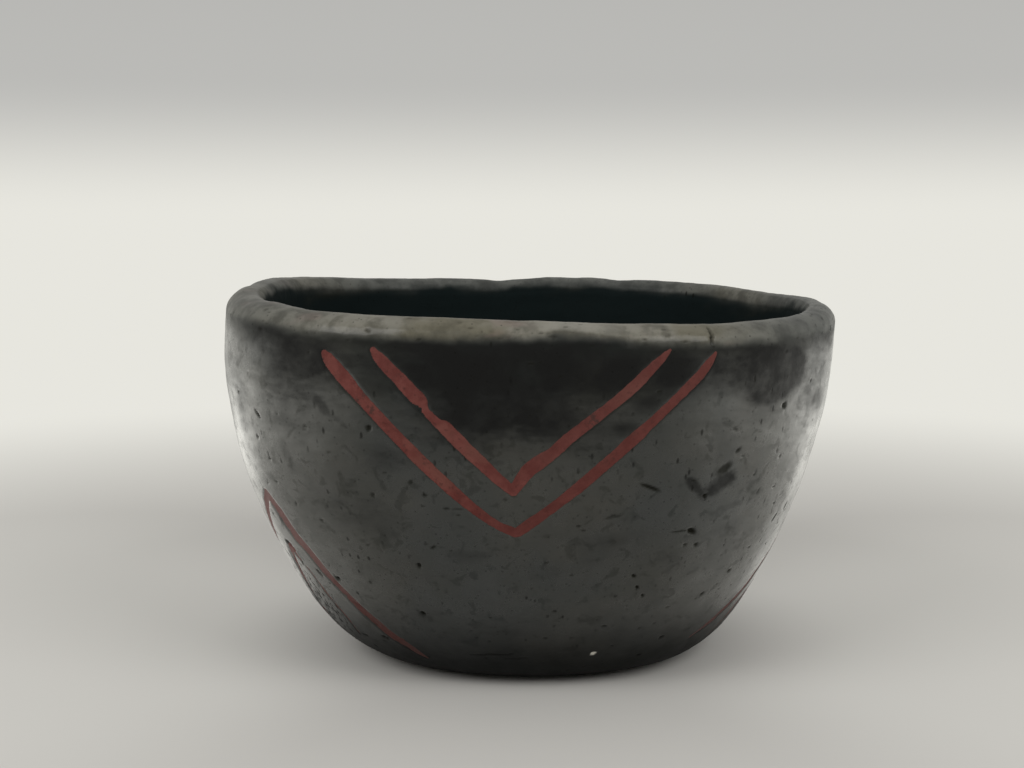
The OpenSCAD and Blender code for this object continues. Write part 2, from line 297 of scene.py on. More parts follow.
# ---- marks: angle, height share, length, width, tilt, depth (mm), darkness -
MARKS = [
    (221.3, .725, 1.9, .5, -40, .16, .85), (219.8, .662, .8, .6, -20, .12, .6), (222.1, .608, .6, .5, 0, .14, .7),
    (244.3, .730, .9, .9, 0, .22, .9), (229.0, .300, 1.0, .75, -30, .45, 1), (223.6, .303, 1.7, .45, -55, .2, .8),
    (249.5, .370, .7, 1.0, 15, .3, .9), (247.2, .229, 1.1, .6, -35, .35, 1), (233.0, .128, 1.5, .5, -15, .3, .9),
    (256.3, .532, .8, .5, 0, .16, .75), (258.3, .533, 1.5, .3, 0, .1, .6), (316.5, .778, 1.1, .9, 20, .25, .8),
    (307.1, .678, 1.3, .7, 45, .15, .75), (305.1, .632, 2.9, 1.5, 30, .10, .8), (291.3, .593, 3.3, .7, -22, .14, .95),
    (302.1, .562, .9, .8, 0, .25, .9), (301.3, .466, 1.8, 1.1, -25, .3, 1), (298.8, .468, 3.4, .4, 4, .1, .75),
    (303.1, .427, .8, .6, 0, .2, .85), (300.6, .431, .7, .5, 0, .16, .8), (285.6, .520, .9, .45, 10, .1, .6),
    (279.1, .357, .7, .45, 0, .1, .6), (291.5, .349, .9, .7, -30, .24, .95), (292.7, .315, .8, .6, -60, .26, 1),
    (294.6, .286, .7, .6, -40, .24, .9), (288.6, .291, .6, .5, 0, .14, .7), (276.0, .250, .7, .5, 0, .12, .7),
    (287.5, .199, .9, .45, 0, .16, .8), (274.2, .168, .7, .4, 0, .12, .7), (304.0, .141, 1.0, .5, 30, .2, .8),
    (310.3, .265, .9, .5, 35, .16, .7), (316.0, .320, .9, .6, 40, .18, .75), (325.4, .453, 1.6, .5, 55, .2, .85),
    (330.5, .473, 1.2, .5, 60, .2, .8), (299.7, .089, .9, .4, 5, .16, .8), (279.4, .493, .6, .45, 0, .14, .8),
    (280.4, .482, .6, .4, 0, .12, .7), (216.1, .362, 2.0, 1.2, -25, .7, 1), (217.2, .352, 1.0, .8, 0, .45, 1),
    (230.6, .222, 1.9, .5, -45, .22, 1), (225.0, .118, 1.6, .4, -10, .15, .9), (238.3, .133, .9, .5, -20, .12, .8),
    (258.2, .515, .6, .4, 0, .1, .6), (285.5, .517, 2.4, .5, 12, .08, .55), (315.1, .554, 1.2, .4, 60, .08, .6),
    (227.5, .28, 1.6, .5, -55, .16, .7), (240.2, .42, .6, .5, 0, .12, .6), (246.3, .62, .6, .4, 0, .1, .55),
    (250.6, .60, .7, .6, 0, .16, .7), (252.8, .565, .8, .5, 0, .14, .7), (243.5, .56, .7, .9, 0, .12, .6),
    (266.5, .56, .6, .5, 0, .08, .5), (312.4, .60, .7, .5, 30, .12, .6), (318.8, .64, .6, .6, 0, .12, .6),
    (222.0, .55, .7, .5, 0, .12, .6), (226.0, .50, .6, .6, 0, .12, .6), (231.5, .47, .7, .5, 0, .12, .55),
]
LONG_MARKS = [  # thin lines: two ends as angle and height share, width, depth, darkness
    (255.6, .104, 266.0, .110, .45, .12, .85), (299.0, .955, 299.3, .992, .5, .35, .9),
    (264.0, .094, 270.0, .098, .3, .06, .5),
]

SMEARS = [  # soft sooty smears: two ends as angle and height share, width, darkness
    (234.6, .824, 235.5, .793, 1.1, .58), (235.5, .793, 236.9, .765, 1.6, .72), (236.9, .765, 240.2, .733, .7, .45),
    (298.2, .608, 300.1, .586, 1.2, .80), (300.1, .586, 301.9, .559, .9, .80), (301.5, .575, 303.4, .579, 1.3, .50),
    (303.2, .579, 305.1, .593, 2.0, .92), (305.1, .593, 306.6, .604, 2.1, 1.0), (306, .52, 311, .53, .8, .2),
    (252, .735, 254, .715, 1.2, .4), (262, .66, 266, .655, .7, .3), (281, .70, 286, .705, .9, .35),
    (256, .40, 262, .405, 1.6, .2), (243, .47, 246, .45, 1.8, .22), (272, .36, 276, .365, 1.8, .18),
    (296, .40, 300, .38, 1.7, .2), (309, .44, 312, .47, 1.4, .2), (227, .66, 228, .60, 1.6, .28),
]

rng = np.random.RandomState(7)
n_small = 620
rt = rng.uniform(0, 360, n_small)
rs = rng.uniform(0.04, 0.93, n_small)
rough = np.exp(-(turn(rt, 217) / 12) ** 2 - ((rs - .19) / .12) ** 2)
keep = rng.uniform(size=n_small) < 0.5 + 0.5 * rough
for t0, s0, k in zip(rt, rs, keep):
    if k:
        size = 0.22 + 0.40 * rng.uniform() ** 2.5
        MARKS.append((t0, s0, size * rng.uniform(1, 1.9), size * 0.8, rng.uniform(-30, 30),
                      0.05 + 0.11 * rng.uniform(), 0.35 + 0.4 * rng.uniform()))
for _ in range(170):                       # the rough, pitted zone low on the left
    t0, s0 = rng.normal(213.5, 4.5), rng.normal(.19, .06)
    if .05 < s0 < .33:
        size = rng.uniform(.22, .48)
        MARKS.append((t0, s0, size * 2.2, size * .8, rng.uniform(50, 120), rng.uniform(.04, .14), rng.uniform(.35, .85)))
for _ in range(140):                       # the inner lip edge and the lip itself
    t0, s0 = rng.uniform(0, 360), rng.uniform(.945, .998)
    size = rng.uniform(.3, .7)
    MARKS.append((t0, s0, size * 1.5, size * .8, rng.uniform(-20, 20), rng.uniform(.03, .12), rng.uniform(.2, .6)))

wob1, wob2 = fbm(P, 0.8, 91, 2), fbm(P, 0.8, 97, 2)
pit = np.zeros((NR, NT))
smear = np.zeros((NR, NT))
chip = np.zeros((NR, NT))


def window(t0, s0, reach):
    """Rows and columns of the grid near a point of the outer wall."""
    col = int(round(t0 / 360 * NT))
    d_col = int(math.ceil(reach / (2 * math.pi * 26 / NT)))
    cols = np.arange(col - d_col, col + d_col + 1) % NT
    s_col = S[:n_top, int(round(t0 / 360 * NT)) % NT]
    row = int(np.argmin(np.abs(s_col - s0)))
    d_row = int(math.ceil(reach / STEP * 1.3))
    rows = np.arange(max(row - d_row, 0), min(row + d_row + 1, n_top + 4))
    return np.ix_(rows, cols), (row, col % NT)


for t0, s0, length, width, tilt, depth, dark in MARKS:
    w, c = window(t0, s0, 0.5 * length + 1.0)
    d = P[w] - P[c]
    x, y = d @ TH[c], d @ TV[c]
    x, y = x + 0.22 * width * wob1[w], y + 0.22 * width * wob2[w]
    ca, sa = math.cos(math.radians(tilt)), math.sin(math.radians(tilt))
    e = np.hypot((x * ca + y * sa) / (0.5 * length), (-x * sa + y * ca) / (0.5 * width))
    m = smooth(1.25, 0.45, e)
    D[w] -= depth * m * foot[w]
    pit[w] = np.maximum(pit[w], dark * smooth(1.35, 0.6, e))

for t0, s0, t1, s1, width, depth, dark in LONG_MARKS:
    steps = 24
    for k in range(steps + 1):
        q = k / steps
        tk, sk = t0 + (t1 - t0) * q, s0 + (s1 - s0) * q
        w, c = window(tk, sk, width + 0.9)
        d = np.linalg.norm(P[w] - P[c], axis=-1) + 0.2 * width * wob1[w]
        m = smooth(0.62 * width, 0.2 * width, d) * math.sin(math.pi * min(max(q, 0.06), 0.94)) ** 0.3
        pit[w] = np.maximum(pit[w], dark * m)
long_cut = np.zeros((NR, NT))
for t0, s0, t1, s1, width, depth, dark in LONG_MARKS:
    for k in range(25):
        q = k / 24
        w, c = window(t0 + (t1 - t0) * q, s0 + (s1 - s0) * q, width + 0.9)
        d = np.linalg.norm(P[w] - P[c], axis=-1) + 0.2 * width * wob2[w]
        long_cut[w] = np.maximum(long_cut[w], depth * smooth(0.62 * width, 0.15 * width, d))
D -= long_cut
for t0, s0, t1, s1, width, dark in SMEARS:
    for k in range(25):
        q = k / 24
        w, c = window(t0 + (t1 - t0) * q, s0 + (s1 - s0) * q, width + 1.2)
        d = np.linalg.norm(P[w] - P[c], axis=-1) + 0.25 * width * wob1[w]
        smear[w] = np.maximum(smear[w], dark * smooth(0.9 * width, 0.2 * width, d))
w, c = window(286.4, .109, 1.5)            # one fresh pale chip near the foot
d = np.linalg.norm(P[w] - P[c], axis=-1) + 0.35 * wob1[w]
chip[w] = smooth(0.52, 0.36, d)
D[w] -= 0.14 * smooth(0.6, 0.2, d)


# ---- grooves and their pigment -------------------------------------------

def centre_line(pts):
    """Closely spaced points along a smooth run of control points, with a crisp bend at the tip."""
    pts = np.array(pts, float)
    n = len(pts)
    up_ = np.sign(np.diff(pts[:, 1]))
    tip = int(np.argmax(up_[1:] * up_[:-1] < 0)) + 1          # where the stroke turns back
    out = []
    for lo_, hi_ in ((0, tip), (tip, n - 1)):
        part = pts[lo_:hi_ + 1]
        k = np.arange(len(part))
        m = np.gradient(part, axis=0) if len(part) > 2 else np.diff(part, axis=0).repeat(2, 0)
        q = np.linspace(0, len(part) - 1, 40 * (len(part) - 1) + 1)
        i = np.minimum(q.astype(int), len(part) - 2)
        t = (q - i)[:, None]
        out.append(part[i] * (2 * t ** 3 - 3 * t ** 2 + 1) + m[i] * (t ** 3 - 2 * t ** 2 + t)
                   + part[i + 1] * (3 * t ** 2 - 2 * t ** 3) + m[i + 1] * (t ** 3 - t ** 2))
    return np.concatenate([out[0], out[1][1:]])


def near_line(pts):
    """Distance to a line, how far along it and its half width there, for the grid points near it."""
    line = centre_line(pts)
    C = skin(line[:, 0], line[:, 1])
    run = np.concatenate([[0], np.cumsum(np.linalg.norm(np.diff(C, axis=0), axis=1))])
    u = np.linspace(0, run[-1], int(run[-1] / 0.35) + 2)
    C = np.stack([np.interp(u, run, C[:, k]) for k in range(3)], 1)
    lt, ls, lw = (np.interp(u, run, line[:, k]) for k in range(3))
    best = np.full((NR, NT), 9.0)
    where, width = np.zeros((NR, NT)), np.full((NR, NT), 0.5)
    for k in range(len(u) - 1):
        w, c = window(lt[k] % 360, ls[k], 2.7)
        a, b = C[k], C[k + 1]
        ab = b - a
        q = np.clip(((P[w] - a) @ ab) / (ab @ ab), 0, 1)
        d = np.linalg.norm(P[w] - a - q[..., None] * ab, axis=-1)
        take = d < best[w]
        best[w] = np.where(take, d, best[w])
        where[w] = np.where(take, u[k] + q * (u[k + 1] - u[k]), where[w])
        width[w] = np.where(take, lw[k] + q * (lw[k + 1] - lw[k]), width[w])
    return best, where, width, run[-1]


edge_a, edge_b = fbm(P, 2.8, 101, 2), fbm(P, 0.75, 111, 2)
wear_a, wear_b = fbm(P, 3.4, 121, 3), fbm(P, 0.8, 131, 2)
groove = np.zeros((NR, NT))
fills = {}
for name, pts in LINES.items():
    worn, pale = WAY.get(name, (0.12, 0.3))
    d, u, half, total = near_line(pts)
    w = half * (1 + 0.08 * edge_a) + 0.10 * edge_b
    near = d < 8
    e = d / np.maximum(w, 0.12)
    deep = 0.26 * np.clip(half / 0.9, 0.35, 1)
    trough = smooth(1.25, 0.25, e) * deep                     # a shallow, soft-edged channel
    D += np.where(near, -trough + 0.012 * np.exp(-((e - 1.35) / 0.2) ** 2), 0) * foot
    groove = np.maximum(groove, smooth(1.6, 0.9, e) * near)
    patchy = np.clip(0.5 - 1.3 * wear_a, 0, 1) * worn + worn * np.clip(wear_b, 0, 1)
    thick = np.minimum((w - d) * 0.5, 0.03 + 0.13 * np.clip(1 - e ** 2, 0, 1)) - 0.20 * patchy
    if name == "front_chevron_inner":      # a worn, chipped stretch half way down the left leg
        thick -= 0.14 * np.exp(-((u - 10.6) / 1.3) ** 2) * np.clip(0.5 + 1.6 * wear_b, 0, 1)
    fills[name] = (np.clip(thick, -0.07, 0.3), d, u, pale, w)

G = P + N * D[..., None]
G[..., 2] = np.maximum(G[..., 2], 0)
G[0, :, 2] = 0

# ---- masks carried as vertex attributes -----------------------------------
drip = fbm(P, (7, 7, 2.2), 141, 3)
mott = fbm(P, 2.2, 151, 3)
lip_edge = S + 0.014 * drip + 0.006 * mott - 0.013 * np.exp(-(turn(theta, 274) / 8) ** 2)[None]
lip_worn = smooth(0.938, 0.972, lip_edge) * smooth(6.0, 3.4, OVER + 1.6 * drip)
matt = np.maximum(lip_worn, smooth(0.895, 0.955, S + 0.012 * drip) * smooth(4.6, 2.6, OVER))
matt = np.maximum(matt, 1.4 * smooth(0.2, 1.8, OVER))
handled = np.exp(-(np.abs(turn(theta, 268)) / 40) ** 4)[None]       # the front lip is worn palest
palest = np.exp(-(turn(theta, 277) / 7) ** 2)[None] + 0.6 * np.exp(-(turn(theta, 298) / 6) ** 2)[None]
worn_pale = lip_worn * (np.clip(handled + 0.30 * drip * handled, 0, 1) + 0.4 * palest * lip_worn
                         + (0.32 * np.exp(-(turn(theta, 203) / 28) ** 2) + 0.55 * np.exp(-(turn(theta, 36) / 12) ** 2)
                            + 0.50 * np.exp(-(turn(theta, 153) / 14) ** 2))[None])
fringe = OVER + 2.2 * fbm(P, (9, 9, 3), 173, 3) + 0.35 * mott
fringe = fringe - 1.7 * (np.exp(-(turn(theta, 140) / 24) ** 2) + np.exp(-(turn(theta, 34) / 24) ** 2))[None]
soot_in = smooth(1.8, 4.6, fringe)
lip_worn = lip_worn * (1 - 0.55 * np.exp(-(turn(theta, 224) / 8) ** 2)[None] * smooth(0.975, 0.95, S))


def blob(t0, s0, dt, ds, power=2.0):
    return np.exp(-np.abs(turn(theta, t0)[None] / dt) ** power - np.abs((S - s0) / ds) ** power)


# sooty and unpolished patches, partly painted shade: the dark patch below the front lip stands in for the dark room
# that the wall would mirror there, and the patches on the flanks dim the mirrored light. Columns: angle, height share,
# half widths, strength, sharpness
PATCHES = [
    (267, 0.900, 25, 0.085, 0.80, 3.0), (266, 0.820, 17, 0.10, 0.80, 2.6), (262, 0.765, 10, 0.075, 0.75, 2.4),
    (261, 0.80, 5.0, 0.050, 0.55, 2.0), (275, 0.750, 10, 0.060, 0.45, 2.4), (281, 0.700, 6, 0.035, 0.30, 2.0),
    (293, 0.885, 5.5, 0.060, 0.85, 2.4), (286, 0.870, 4, 0.060, 0.80, 2.4), (289, 0.810, 4, 0.035, 0.60, 2.0),
    (285.5, 0.745, 3.0, 0.030, 0.50, 2.0), (234, 0.890, 10, 0.060, 0.75, 2.4), (233.5, 0.845, 4, 0.045, 0.40, 2.0),
    (225.5, 0.945, 5, 0.030, 0.60, 2.4), (229, 0.930, 5, 0.025, 0.60, 2.4),
    (225, 0.925, 9, 0.035, 0.60, 2.4), (235, 0.800, 6, 0.050, 0.35, 2.0), (306, 0.925, 12, 0.035, 0.60, 2.4),
    (312.0, 0.862, 5.8, 0.070, 1.60, 2.0), (317.5, 0.878, 5, 0.058, 1.40, 2.0), (307.0, 0.875, 5.0, 0.060, 0.85, 2.0),
    (300.5, 0.905, 5, 0.045, 0.62, 2.2), (301.5, 0.865, 4, 0.035, 0.40, 2.0), (281.5, 0.815, 4, 0.030, 0.55, 2.0),
    (215.0, 0.725, 4.5, 0.130, 0.40, 2.0), (200.0, 0.760, 8, 0.120, 0.45, 2.0),
    (335.0, 0.680, 4, 0.120, 0.16, 2.0), (328.5, 0.785, 8, 0.120, 0.62, 2.0), (326.5, 0.600, 5, 0.090, 0.25, 2.0),
    (232.0, 0.800, 8, 0.085, 0.46, 2.0), (229.0, 0.740, 6, 0.050, 0.25, 2.0), (313.5, 0.800, 4.5, 0.035, 0.38, 2.0), (321, 0.800, 3, 0.05, 0.22, 2.0),
    (330, 0.920, 12, 0.040, 0.50, 2.4), (304, 0.700, 3, 0.03, 0.15, 2.0), (239, 0.520, 7, 0.060, 0.22, 2.0),
    (285, 0.440, 5, 0.050, 0.18, 2.0), (247, 0.660, 5, 0.040, 0.25, 2.0), (314, 0.42, 8, 0.05, 0.15, 2.0),
    (60, 0.80, 24, 0.14, 0.70, 3.0), (84, 0.62, 10, 0.10, 0.40, 2.0), (140, 0.50, 18, 0.16, 0.60, 3.0),
    (120, 0.86, 12, 0.07, 0.50, 2.4), (12, 0.80, 10, 0.12, 0.55, 2.4), (186, 0.74, 9, 0.12, 0.45, 2.4),
    (172, 0.30, 12, 0.10, 0.35, 2.0), (25, 0.33, 10, 0.10, 0.35, 2.0),
]
soot_shade_lumps, soot_shade_grain = fbm(P, (8, 8, 4.5), 161, 3), fbm(P, (1.6, 1.6, 0.8), 163, 3)
# one mask for real soot and smears and for the painted shade of the patches above
soot_and_shade = np.zeros((NR, NT))
for t0, s0, dt, ds, k, power in PATCHES:
    soot_and_shade = np.maximum(soot_and_shade, 1.15 * k * blob(t0, s0, dt, ds, power)) + 0.25 * k * blob(t0, s0, dt, ds, power)
soot_and_shade = soot_and_shade * (1 + 0.35 * soot_shade_lumps) + (0.22 * soot_shade_grain + 0.12 * soot_shade_lumps) * np.clip(soot_and_shade * 1.6, 0, 1)
soot_and_shade = np.clip(np.maximum(soot_and_shade, smear), 0, 1) * on_wall
# painted shade towards the foot: the colour darkens where the wall mirrors the shadowed floor beneath it, and the foot
# is also left rougher and unpolished
base_dark = smooth(0.29, 0.05, S + 0.02 * fbm(P, (8, 8, 5), 165, 2)) * on_wall


# ---- mesh making -----------------------------------------------------------

def ring_faces(a, na, b, nb):
    """Faces between ring a of na points and the next ring b of nb points, where nb is na or half of it."""
    j = np.arange(na)
    if na == nb:
        k = (j + 1) % na
        return [np.stack([a + j, a + k, b + k, b + j], 1)], []
    m = np.arange(nb)
    f0, f1, f2 = a + 2 * m, a + 2 * m + 1, a + (2 * m + 2) % na
    c0, c1 = b + m, b + (m + 1) % nb
    return [], [np.stack([f0, f1, c0], 1), np.stack([f1, c1, c0], 1), np.stack([f1, f2, c1], 1)]


def make_mesh(name, verts, quads, tris, attrs, scale=0.001):
    me = bpy.data.meshes.new(name)
    q = np.concatenate(quads) if quads else np.zeros((0, 4), int)
    t = np.concatenate(tris) if tris else np.zeros((0, 3), int)
    loops = np.concatenate([q.ravel(), t.ravel()]).astype(np.int32)
    start = np.concatenate([np.arange(len(q)) * 4, len(q) * 4 + np.arange(len(t)) * 3]).astype(np.int32)
    total = np.concatenate([np.full(len(q), 4), np.full(len(t), 3)]).astype(np.int32)
    me.vertices.add(len(verts))
    me.vertices.foreach_set("co", (verts * scale).astype(np.float32).ravel())
    me.loops.add(len(loops))
    me.loops.foreach_set("vertex_index", loops)
    me.polygons.add(len(start))
    me.polygons.foreach_set("loop_start", start)
    me.polygons.foreach_set("loop_total", total)
    me.update(calc_edges=True)
    me.validate()
    me.polygons.foreach_set("use_smooth", np.ones(len(me.polygons), bool))
    for key, val in attrs.items():
        a = me.attributes.new(key, "FLOAT", "POINT")
        a.data.foreach_set("value", np.asarray(val, np.float32).ravel())
    me.update()
    o = bpy.data.objects.new(name, me)
    bpy.context.scene.collection.objects.link(o)
    return o


verts, quads, tris = [G.reshape(-1, 3)], [], []
attrs = {"lip": [lip_worn.ravel()], "matt": [matt.ravel()], "worn": [worn_pale.ravel()], "soot_and_shade": [soot_and_shade.ravel()], "pit": [pit.ravel()],
         "groove": [groove.ravel()], "inside": [soot_in.ravel()], "low": [base_dark.ravel()], "chip": [chip.ravel()],
         "bed": [np.zeros(NR * NT)]}
for r in range(NR - 1):
    q, t = ring_faces(r * NT, NT, (r + 1) * NT, NT)
    quads += q
    tris += t
count = NR * NT


def add_ring(points, **masks):
    global count
    verts.append(points)
    for key in attrs:
        attrs[key].append(np.broadcast_to(np.asarray(masks.get(key, 0.0), float), (len(points),)).copy())
    start_, count = count, count + len(points)
    return start_


# the rest of the inner wall and the floor, with half as many points again and again
prev, n_prev = (NR - 1) * NT, NT
rest = rows_q[n_skirt:]
inner_rows, n_now = [], NT // 2
for k, q in enumerate(rest):
    ring_len = 2 * math.pi * float(along(INNER, q))
    if n_now % 2 == 0 and ring_len / n_now < STEP * 1.1 and n_now > 90:
        n_now //= 2
    t = np.arange(n_now) * 360.0 / n_now
    inner_rows.append((inner_row(q, t), t, n_now))
last_q_a = float(along(INNER, 0.0))
for k in range(1, 24):                        # flat middle of the floor
    a = last_q_a * (1 - k / 24)
    if n_now % 2 == 0 and 2 * math.pi * a / n_now < STEP * 0.9 and n_now > 24:
        n_now //= 2
    t = np.arange(n_now) * 360.0 / n_now
    pts = at(t, floor_s, a)
    pts[:, 2] -= 0.3 * (1 - (a / last_q_a) ** 2)
    inner_rows.append((pts, t, n_now))
sizes = [n for _, _, n in inner_rows]
flat = np.concatenate([p for p, _, _ in inner_rows])
up = np.zeros_like(flat)
ofs = 0
for i, (pts, t, n) in enumerate(inner_rows):  # normals of the inner rows, from their own neighbours
    a, b = inner_rows[max(i - 1, 0)][0], inner_rows[min(i + 1, len(inner_rows) - 1)][0]
    ia_ = a[(np.arange(n) * len(a)) // n]
    ib_ = b[(np.arange(n) * len(b)) // n]
    nv = unit(np.cross(np.roll(pts, -1, 0) - np.roll(pts, 1, 0), ib_ - ia_))
    up[ofs:ofs + n] = nv
    ofs += n
rel = (0.16 * fbm(flat, (8, 8, 5), 71, 2) + 0.05 * fbm(flat, 1.8, 81, 2)
       + 0.10 * fbm(flat, (14, 14, 3.5), 171, 2))
flat = flat + up * rel[:, None]
bed = smooth(34, 13, flat[:, 2] + 3 * fbm(flat, (11, 11, 7), 175, 3))      # the used, scraped lower part
ofs = 0
for n in sizes:
    start_ = add_ring(flat[ofs:ofs + n], inside=1.0, bed=bed[ofs:ofs + n])
    q, t = ring_faces(prev, n_prev, start_, n)
    quads += q
    tris += t
    prev, n_prev, ofs = start_, n, ofs + n
centre = add_ring(np.array([[MOUTH_SHIFT - FOOT_SHIFT, 0, FLOOR - 0.3 + 0.05]]), inside=1.0, bed=1.0)
j = np.arange(n_prev)
tris.append(np.stack([prev + j, prev + (j + 1) % n_prev, np.full(n_prev, centre)], 1))

# the underside of the foot, very slightly hollow
prev, n_prev, n_now = 0, NT, NT
for a in np.linspace(24, 0.6, 70)[1:]:
    if n_now % 2 == 0 and 2 * math.pi * a / n_now < STEP * 0.9 and n_now > 40:
        n_now //= 2
    t = np.arange(n_now) * 360.0 / n_now
    pts = at(t, 0.0, a)
    lift = smooth(23.6, 19, a)
    pts[:, 2] = lift * (0.22 + 0.16 * fbm(pts + 100, (7, 7, 7), 181, 3) + 0.03 * fbm(pts + 50, 1.2, 191, 2))
    pts[:, 2] = np.maximum(pts[:, 2], 0)
    start_ = add_ring(pts, low=0.5)
    # seen from below, so the faces run the other way round
    q, t_ = ring_faces(prev, n_prev, start_, n_now)
    quads += [x[:, ::-1] for x in q]
    tris += [x[:, ::-1] for x in t_]
    prev, n_prev = start_, n_now
centre = add_ring(np.array([[MOUTH_SHIFT - FOOT_SHIFT, 0, 0.25]]), low=0.5)
j = np.arange(n_prev)
tris.append(np.stack([prev + (j + 1) % n_prev, prev + j, np.full(n_prev, centre)], 1))

pot = make_mesh("clay_vessel", np.concatenate(verts), quads, tris, {k: np.concatenate(v) for k, v in attrs.items()})
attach(pot, "root")
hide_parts("pot_body")

# pigment: each line is its own closed solid that lies in its groove
pigments = []
for name, (thick, d, u, pale, w) in fills.items():
    use = (d < np.maximum(w, 0.1) + 0.42)
    quad_on = use & np.roll(use, -1, 1)
    quad_on = quad_on[:-1] & quad_on[1:]
    rr, cc = np.nonzero(quad_on)
    c2 = (cc + 1) % NT
    ids = np.stack([rr * NT + cc, rr * NT + c2, (rr + 1) * NT + c2, (rr + 1) * NT + cc], 1)
    used, inv = np.unique(ids, return_inverse=True)
    top_q = inv.reshape(-1, 4)
    m = len(used)
    base = G.reshape(-1, 3)[used]
    nrm = N.reshape(-1, 3)[used]
    th = thick.ravel()[used]
    top = base + nrm * th[:, None]
    bottom = base - nrm * 0.28
    edges = {}
    for a_, b_ in ((0, 1), (1, 2), (2, 3), (3, 0)):
        for x, y in zip(top_q[:, a_], top_q[:, b_]):
            if (y, x) in edges:
                del edges[(y, x)]
            else:
                edges[(x, y)] = True
    rim_e = np.array(list(edges.keys()))
    sides = np.stack([rim_e[:, 1], rim_e[:, 0], rim_e[:, 0] + m, rim_e[:, 1] + m], 1)
    obj = make_mesh(name + "_pigment", np.concatenate([top, bottom]), [top_q, top_q[:, ::-1] + m, sides], [],
                    {"thick": np.concatenate([th, th]),
                     "run": np.concatenate([u.ravel()[used]] * 2),
                     "off": np.concatenate([(d / np.maximum(w, .1)).ravel()[used]] * 2),
                     "pale": np.concatenate([pale * smooth(.12, .34, S.ravel()[used]) if "left" in name
                                             else np.full(m, pale)] * 2),
                     "low": np.concatenate([S.ravel()[used]] * 2)})
    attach(obj, "root")
    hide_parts(name)
    pigments.append(obj)

# --------------------------------------------------------------------------
# Materials
# --------------------------------------------------------------------------


class Tree:
    """A short way of writing a material's nodes."""

    def __init__(self, name):
        self.mat = bpy.data.materials.new(name)
        self.mat.use_nodes = True
        self.t = self.mat.node_tree
        self.t.nodes.clear()
        self.out = self.t.nodes.new("ShaderNodeOutputMaterial")
        self.bsdf = self.t.nodes.new("ShaderNodeBsdfPrincipled")
        self.t.links.new(self.bsdf.outputs[0], self.out.inputs[0])
        self.coord = self.t.nodes.new("ShaderNodeTexCoord").outputs["Object"]

    def put(self, socket, value):
        if isinstance(value, bpy.types.NodeSocket):
            self.t.links.new(value, socket)
        elif value is not None:
            socket.default_value = value

    def attr(self, name):
        n = self.t.nodes.new("ShaderNodeAttribute")
        n.attribute_name = name
        return n.outputs["Fac"]

    def scaled(self, sx, sy, sz):
        n = self.t.nodes.new("ShaderNodeMapping")
        n.inputs["Scale"].default_value = (sx, sy, sz)
        self.put(n.inputs["Vector"], self.coord)
        return n.outputs[0]

    def noise(self, scale, detail=4, rough=0.55, vec=None, distort=0.0):
        n = self.t.nodes.new("ShaderNodeTexNoise")
        n.inputs["Scale"].default_value = scale
        n.inputs["Detail"].default_value = detail
        n.inputs["Roughness"].default_value = rough
        n.inputs["Distortion"].default_value = distort
        self.put(n.inputs["Vector"], vec or self.coord)
        return n.outputs["Fac"]

    def cells(self, scale, vec=None, feature="F1"):
        n = self.t.nodes.new("ShaderNodeTexVoronoi")
        n.feature = feature
        n.inputs["Scale"].default_value = scale
        self.put(n.inputs["Vector"], vec or self.coord)
        return n.outputs["Distance"]

    def math(self, op, a, b=None, clamp=False):
        n = self.t.nodes.new("ShaderNodeMath")
        n.operation = op
        n.use_clamp = clamp
        self.put(n.inputs[0], a)
        if b is not None:
            self.put(n.inputs[1], b)
        return n.outputs[0]

    def ramp(self, fac, lo, hi, a=0.0, b=1.0):
        n = self.t.nodes.new("ShaderNodeMapRange")
        n.interpolation_type = "SMOOTHSTEP"
        self.put(n.inputs["Value"], fac)
        for key, v in (("From Min", lo), ("From Max", hi), ("To Min", a), ("To Max", b)):
            n.inputs[key].default_value = v
        return n.outputs[0]

    def mix(self, fac, a, b):
        n = self.t.nodes.new("ShaderNodeMix")
        n.data_type = "RGBA"
        self.put(n.inputs["Factor"], fac)
        ins = [s for s in n.inputs if s.type == "RGBA"]
        for s, v in zip(ins, (a, b)):
            if isinstance(v, tuple):
                s.default_value = (*v, 1.0)
            else:
                self.put(s, v)
        return [s for s in n.outputs if s.type == "RGBA"][0]

    def bump(self, height, strength, distance, normal=None):
        n = self.t.nodes.new("ShaderNodeBump")
        n.inputs["Strength"].default_value = strength
        n.inputs["Distance"].default_value = distance
        self.put(n.inputs["Height"], height)
        self.put(n.inputs["Normal"], normal)
        return n.outputs[0]


# ---- burnished black clay
c = Tree("burnished_black_clay")
lip, matt_, worn_, soot_shade, pt, ins, low, chp = (
    c.attr(k) for k in ("lip", "matt", "worn", "soot_and_shade", "pit", "inside", "low", "chip"))
broad = c.noise(45, 4, 0.5)
mid = c.noise(240, 5, 0.6)
blots = c.noise(420, 3, 0.55, None, 0.6)
fine = c.noise(1100, 4, 0.6)
streak = c.noise(1.0, 4, 0.6, c.scaled(160, 160, 900))
speck = c.cells(950)
stain = c.noise(70, 3, 0.5, c.scaled(1, 1, 1.6), 0.4)
rubbed = c.noise(1.0, 3, 0.6, c.scaled(110, 110, 480))
slash = c.math("MULTIPLY", c.ramp(c.cells(620, c.scaled(1, 1, 0.42)), 0.19, 0.08), c.ramp(c.noise(95, 3, 0.6), 0.47, 0.60))

